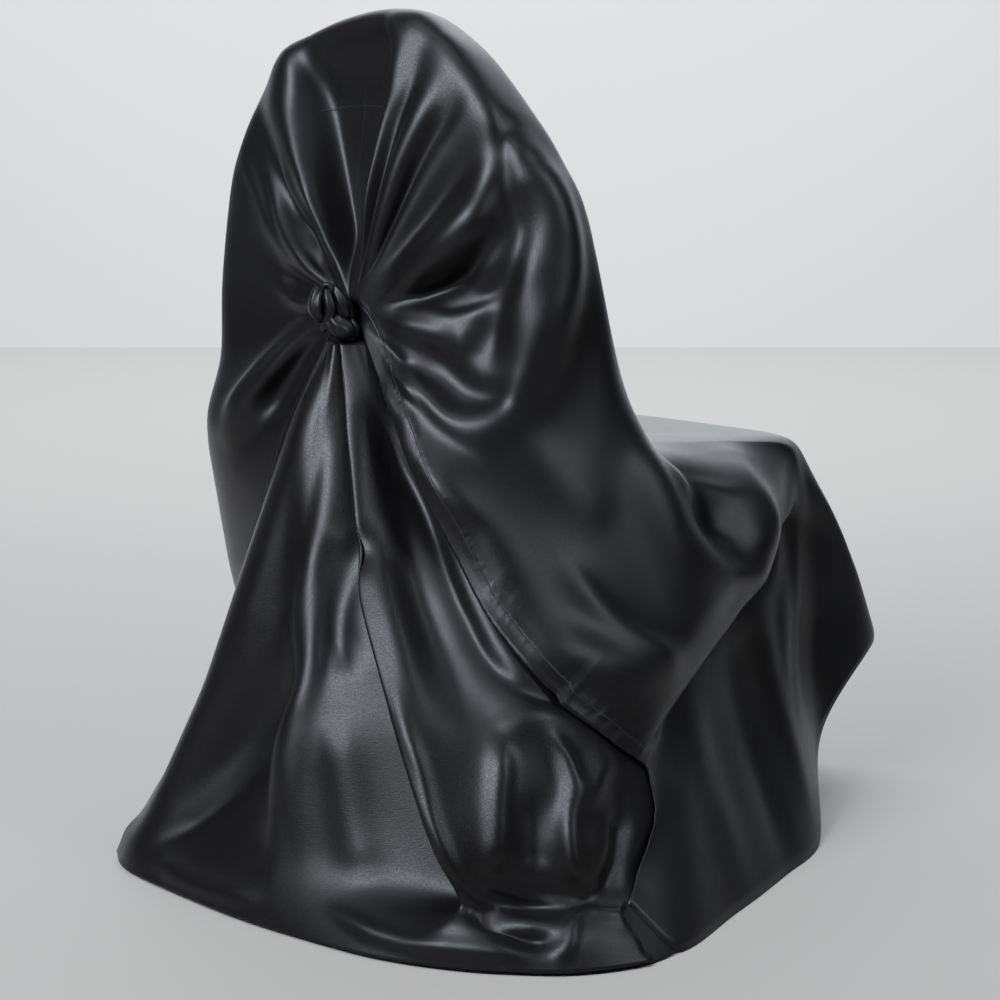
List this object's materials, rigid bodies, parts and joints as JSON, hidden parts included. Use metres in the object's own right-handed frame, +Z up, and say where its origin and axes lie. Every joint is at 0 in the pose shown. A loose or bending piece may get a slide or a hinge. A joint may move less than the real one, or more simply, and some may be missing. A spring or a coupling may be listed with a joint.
{
  "type": "chair cover",
  "caption": "Self-tie satin chair cover, draped over a chair that is left out: pleated hood, seat, floor-length skirt, side wings drawn to a knot, and a spreading back train",
  "frame": {"origin": "On the floor, in the middle of the box round the whole cover", "axes": "+Z is up, the chair's front faces -Y and its back faces +Y; +X is to the left of someone sitting on the chair"},
  "size_m": [0.9276, 0.9316, 0.9412],
  "materials": {
    "satin": "satin"
  },
  "bodies": {
    "root": {"cover_body": "satin", "back_train": "satin", "knot": "satin"}
  },
  "joints": []
}
